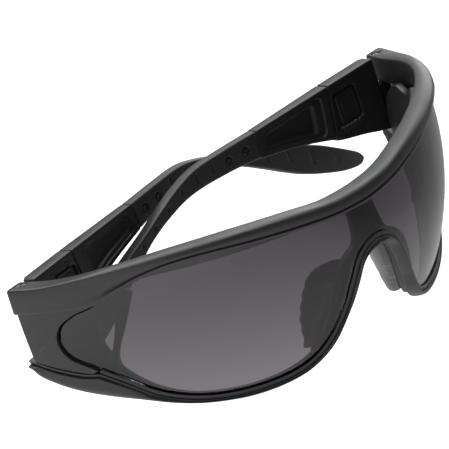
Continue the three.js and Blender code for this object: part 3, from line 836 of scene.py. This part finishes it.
def slab(name, side, stations, top, low, middle, half, relief, lean, rows, edge_soft=0.35, outer=nothing):
    """A temple part: a flat bar with soft long edges, cut back by relief inside and by outer outside."""
    rings = []
    for u in stations:
        high = top(u)
        height = high - low(u)
        soft = min(edge_soft, 0.3 * height, 0.8 * half(u))
        edge = [part * soft for part in (0, 0.05, 0.2, 0.5, 1)]
        inset = edge + spread(soft, height - soft, rows)[1:-1] + [height - e for e in edge[::-1]]
        ring = []
        for face, order, carved in ((-1, inset, relief), (1, inset[::-1], outer)):
            for down in order:
                near = min(down, height - down)
                gone = soft - math.sqrt(max(soft ** 2 - max(soft - near, 0) ** 2, 0))
                gone += carved(u, down, height)
                z = high - down
                ring.append(on_temple(side, u - z * lean(u), middle(u) + face * (half(u) - gone), z))
        rings.append(ring)
    return skin(name, eased_ends(rings, 0.25), 42)


def temple_low(u):
    return curve_at(TEMPLE_LOW, u)


def temple_top(u):
    return 0.0


def temple_half(u):
    """Half the thickness, which falls along the arm."""
    late = min(max((u - SEAM_1) / (SEAM_2 - SEAM_1), 0), 1)
    return mix(TEMPLE_T, ARM_END_T, late) / 2


def temple_middle(u):
    return TEMPLE_IN + temple_half(u)


def ring_mark(u, down, at_u, at_down, radius=0.8):
    """A faint round ejector mark."""
    away = math.hypot(u - at_u, down - at_down)
    return 0.11 * (smoothstep(away, radius - 0.28, radius - 0.1) - smoothstep(away, radius, radius + 0.16))


def base_relief(u, down, height):
    """The plate's pocket, a low ledge under it and the ejector marks round it."""
    x = u - PLATE_MID[0]
    y = down - PLATE_MID[1]
    pocket = rounded_box(x, y, PLATE_HALF[0] + 0.55, PLATE_HALF[1] + 0.5, 0.9)
    ledge = rounded_box(x + 0.2, y - 5.3, 2.6, 0.55, 0.3)
    marks = sum(ring_mark(u, down, *at) for at in EJECTOR_MARKS) * (pocket < 0)
    return dip(pocket, 0.75, 0.2) - dip(ledge, 0.25, 0.2) + marks


def temple_base(side):
    def outer(u, down, height):
        return BASE_CUT * (1 - smoothstep(u, BASE_START + 0.3, BASE_START + 1.0))

    block = slab("temple_base_block_" + side, side, spread(BASE_START, SEAM_1, 78), temple_top, temple_low,
                 temple_middle, temple_half, base_relief,
                 lambda u: SEAM_LEAN * smoothstep(u, 10, SEAM_1), 52, outer=outer)
    fit(block, "temple_" + side, "frame_black", "temple_base_" + side)


def hinge_knuckle(side):
    """The round eye on the pin, with a tongue that runs into the base."""
    heights = [KNUCKLE_LOW, KNUCKLE_LOW + 0.15, *spread(KNUCKLE_LOW + 0.3, KNUCKLE_TOP - 0.3, 8),
               KNUCKLE_TOP - 0.15, KNUCKLE_TOP]
    rings = []
    for z in heights:
        soft = KNUCKLE_SOFT if z in (KNUCKLE_LOW, KNUCKLE_TOP) else 0
        radius = KNUCKLE_R - soft
        turns = [math.pi / 2 + math.pi * k / 12 for k in range(13)]
        outline = [(radius * math.cos(a), radius * math.sin(a)) for a in turns]
        outline += [(2.2, -radius), (4.1, -radius), (4.1, 1.1 - soft), (2.2, 1.25 - soft)]
        rings.append([on_temple(side, u, v, z) for u, v in outline])
    fit(skin("hinge_knuckle_" + side, rings), "temple_" + side, "frame_black")


def plate_point(side, face, across, down):
    """A point of the plate's shown (0) or hidden (1) face, for positions from -1 to 1."""
    def inside(x, y):
        return rounded_box(x, y, *PLATE_HALF, 0.8)

    x = across * PLATE_HALF[0]
    y = down * PLATE_HALF[1]
    corner = inside(x, y)
    if corner < 0:
        pull = 1 + corner / math.hypot(x, y)
        x *= pull
        y *= pull
    edge = max(inside(x, y), 0)
    groove = 0.12 * (smoothstep(edge, 0.75, 0.9) - smoothstep(edge, 1.05, 1.2))
    shown = 0.5 - (0.22 * smoothstep(edge, 0, 0.3) - groove)
    depth = PLATE_BACK if face else shown
    return on_temple(side, PLATE_MID[0] + x, TEMPLE_IN + depth, -(PLATE_MID[1] + y))


def base_plate(side):
    """The blank raised plate in the base's pocket."""
    bm = bmesh.new()
    cols = 44
    rows = 54
    grid = {}
    for face in (0, 1):
        for i in range(cols + 1):
            for j in range(rows + 1):
                grid[face, i, j] = bm.verts.new(plate_point(side, face, 2 * i / cols - 1, 2 * j / rows - 1))
        for i in range(cols):
            for j in range(rows):
                bm.faces.new([grid[face, i, j], grid[face, i + 1, j],
                              grid[face, i + 1, j + 1], grid[face, i, j + 1]])
    border = ([(i, 0) for i in range(cols)] + [(cols, j) for j in range(rows)]
              + [(i, rows) for i in range(cols, 0, -1)] + [(0, j) for j in range(rows, 0, -1)])
    for a, b in zip(border, border[1:] + border[:1]):
        bm.faces.new([grid[0, *a], grid[0, *b], grid[1, *b], grid[1, *a]])
    fit(finished("base_plate_blank_" + side, bm), "temple_" + side, "frame_black", "base_plate_" + side)


def arm_relief(u, down, height):
    """A long pocket with a stepped wall, shallower towards the tip."""
    start = SEAM_1 + 3.0
    end = SEAM_2 - 1.6
    half_u = (end - start) / 2
    x = u - (start + end) / 2
    y = down - height / 2
    first = rounded_box(x, y, half_u, height / 2 - 1.15, 2.0)
    second = rounded_box(x - 0.6, y - 0.1, half_u - 1.9, height / 2 - 2.0, 1.6)
    fade = mix(1, 0.55, smoothstep(u, 30, 44))
    return (dip(first, 0.55, 0.25) + dip(second, 0.95, 0.9)) * fade


def temple_arm(side):
    stations = spread(SEAM_1 + 0.85, SEAM_2 - 0.3, 110)
    arm = slab("temple_arm_bar_" + side, side, stations, temple_top, lambda u: temple_low(u + 1.2),
               temple_middle, temple_half, arm_relief, lambda u: SEAM_LEAN, 46)
    fit(arm, "temple_" + side, "frame_black", "temple_arm_" + side)


def tip_middle(u):
    bow = TIP_BOW * (max(u - 46, 0) / 83) ** 2
    return TEMPLE_IN + ARM_END_T / 2 - bow


def tip_relief(u, down, height):
    """Cups round the rivets and short upright notches down the inner face."""
    depth = 0
    for at_u, at_z in RIVETS:
        away = math.hypot(u - at_u, down + at_z)
        depth += 0.5 * (1 - smoothstep(away, 1.15, 1.45))
    for at in NOTCHES:
        across = math.exp(-((u - at) / 0.3) ** 2)
        within = smoothstep(down, 0.9, 1.3) * (1 - smoothstep(down, height * 0.58, height * 0.68))
        depth += 0.5 * across * within
    return depth


def tip_stations():
    """Distances along the tip: close together at the rivets, in the notches and round the end."""
    made = spread(SEAM_2 + 0.45, 59, 60)
    u = 59.0
    while u < TIP_ROUND:
        near = min(abs(u - n) for n in NOTCHES)
        u += 0.12 if near < 0.5 else 0.55
        made.append(u)
    late = [mix(TIP_ROUND, TIP_END, math.sin(part * math.pi / 2)) for part in spread(0, 0.985, 22)]
    return [u for u in made if u < TIP_ROUND] + late


def temple_tip(side):
    def closing(u):
        t = min(max((u - TIP_ROUND) / (TIP_END - TIP_ROUND), 0), 0.998)
        return math.sqrt(1 - t * t)

    def half(u):
        return ARM_END_T / 2 * (0.35 + 0.65 * closing(u))

    tip = slab("temple_tip_soft_" + side, side, tip_stations(), lambda u: curve_at(TIP_TOP, u),
               lambda u: curve_at(TIP_LOW, u), tip_middle, half, tip_relief,
               lambda u: SEAM_LEAN * (1 - smoothstep(u, 46, 50)), 30, edge_soft=TIP_SOFT)
    fit(tip, "temple_" + side, "soft_black", "temple_tip_" + side)


def tip_rivets(side):
    for number, (at_u, at_z) in enumerate(RIVETS, 1):
        rings = []
        for rise, radius in RIVET_SHAPE:
            rings.append([on_temple(side, at_u + radius * math.cos(a), TEMPLE_IN + 0.75 - rise,
                                    at_z + radius * math.sin(a)) for a in circle(24)])
        fit(skin("tip_rivet_head_%d_%s" % (number, side), rings), "temple_" + side, "frame_black",
            "tip_rivet_%d_%s" % (number, side))


# ---- camera, floor and lights -----------------------------------------------------------------
VIEW_RIGHT = Vector((0.669, -0.683, -0.2925))
VIEW_UP = Vector((0.4406, 0.0478, 0.8964))
AIM = Vector((-2.23, -4.83, -14.58))
VIEW_WIDTH = 113.5  # millimetres across the picture at the aim
CAMERA_AWAY = 5.0  # metres
SENSOR = 36.0
FLOOR_HALF = 30.0  # metres
FLOOR_Z = -0.0002
WHITE = (1, 1, 1, 1)
WORLD_DIM = 0.08  # what lights the glasses; where the world itself is seen it is white
LIGHT_AWAY = 1.5
LIGHTS = [  # name, direction from the glasses, width in metres, power in watts
    ("overhead", (0.05, 0.3, 1), 1.8, 44.0),
    ("left_side", (-1, -0.15, 0.25), 1.4, 8.0),
    ("right_side", (1, 0.45, 0.35), 1.2, 12.0),
]


def camera():
    right = VIEW_RIGHT.normalized()
    back = right.cross(VIEW_UP).normalized()
    up = back.cross(right)
    data = bpy.data.cameras.new("camera")
    data.sensor_width = SENSOR
    data.lens = SENSOR * CAMERA_AWAY / (VIEW_WIDTH * MM)
    data.clip_start = 0.5
    data.clip_end = 60
    eye = placed(*AIM) + back * CAMERA_AWAY
    item = bpy.data.objects.new("camera", data)
    item.matrix_world = Matrix.Translation(eye) @ Matrix((right, up, back)).transposed().to_4x4()
    bpy.context.scene.collection.objects.link(item)
    bpy.context.scene.camera = item


def floor():
    """A white floor that glows evenly; seen in reflections only, its glow runs from bright on the left to dim
    on the right, a painted reflection on the glasses.
    """
    bm = bmesh.new()
    corners = ((-1, -1), (1, -1), (1, 1), (-1, 1))
    bm.faces.new([bm.verts.new((x * FLOOR_HALF, y * FLOOR_HALF, FLOOR_Z)) for x, y in corners])
    piece = finished("floor", bm)
    material, tree, shader = new_material("pale_floor")
    shader.inputs["Base Color"].default_value = (0.3, 0.3, 0.3, 1)
    shader.inputs["Roughness"].default_value = 0.9
    shader.inputs["Emission Color"].default_value = WHITE
    shader.inputs["Emission Strength"].default_value = 1.0
    # painted reflection: glossy rays see the floor's glow brighter to the left and dimmer to the right
    painted_reflection = tree.nodes.new("ShaderNodeEmission")
    painted_reflection_strength = remap(tree, place_along(tree, "X"), -0.14, 0.08, 1.4, 0.35)
    tree.links.new(painted_reflection_strength, painted_reflection.inputs["Strength"])
    path = tree.nodes.new("ShaderNodeLightPath")
    finish_with(tree, path.outputs["Is Glossy Ray"], shader.outputs["BSDF"], painted_reflection.outputs["Emission"],
                "Material Output")
    piece.data.materials.append(material)


def soft_light(name, toward, size, power):
    """A square soft light that faces the glasses from a given direction."""
    data = bpy.data.lights.new(name, "AREA")
    data.shape = "SQUARE"
    data.size = size
    data.energy = power
    item = bpy.data.objects.new(name, data)
    way = Vector(toward).normalized()
    item.location = placed(0, -20, -20) + way * LIGHT_AWAY
    item.rotation_euler = way.to_track_quat("Z", "Y").to_euler()
    bpy.context.scene.collection.objects.link(item)


def lights():
    world = bpy.data.worlds.new("studio")
    world.use_nodes = True
    tree = world.node_tree
    dim = tree.nodes["Background"]
    dim.inputs["Color"].default_value = WHITE
    dim.inputs["Strength"].default_value = WORLD_DIM
    pale = tree.nodes.new("ShaderNodeBackground")
    pale.inputs["Color"].default_value = WHITE
    path = tree.nodes.new("ShaderNodeLightPath")
    seen = greater(tree, path.outputs["Is Camera Ray"], path.outputs["Is Transmission Ray"])
    finish_with(tree, seen, dim.outputs["Background"], pale.outputs["Background"], "World Output")
    bpy.context.scene.world = world
    for light in LIGHTS:
        soft_light(*light)
    bpy.context.scene.view_settings.view_transform = "Standard"


camera()
floor()
lights()
brow_bar()
lower_rim()
lens()
lens_seal()
lens_carrier()
for side_name in SIDES:
    side_panel(side_name)
    nose_pad(side_name)
    hinge_pin(side_name)
    temple_base(side_name)
    hinge_knuckle(side_name)
    base_plate(side_name)
    temple_arm(side_name)
    temple_tip(side_name)
    tip_rivets(side_name)
for node, slot_name in (("nose_clip", "frame_black"), ("temple_core", "pin_steel")):
    for side_name in SIDES:
        kept = frame["nodes"][node + "_" + side_name]
        kept.data.materials.clear()
        kept.data.materials.append(MATERIALS[slot_name])
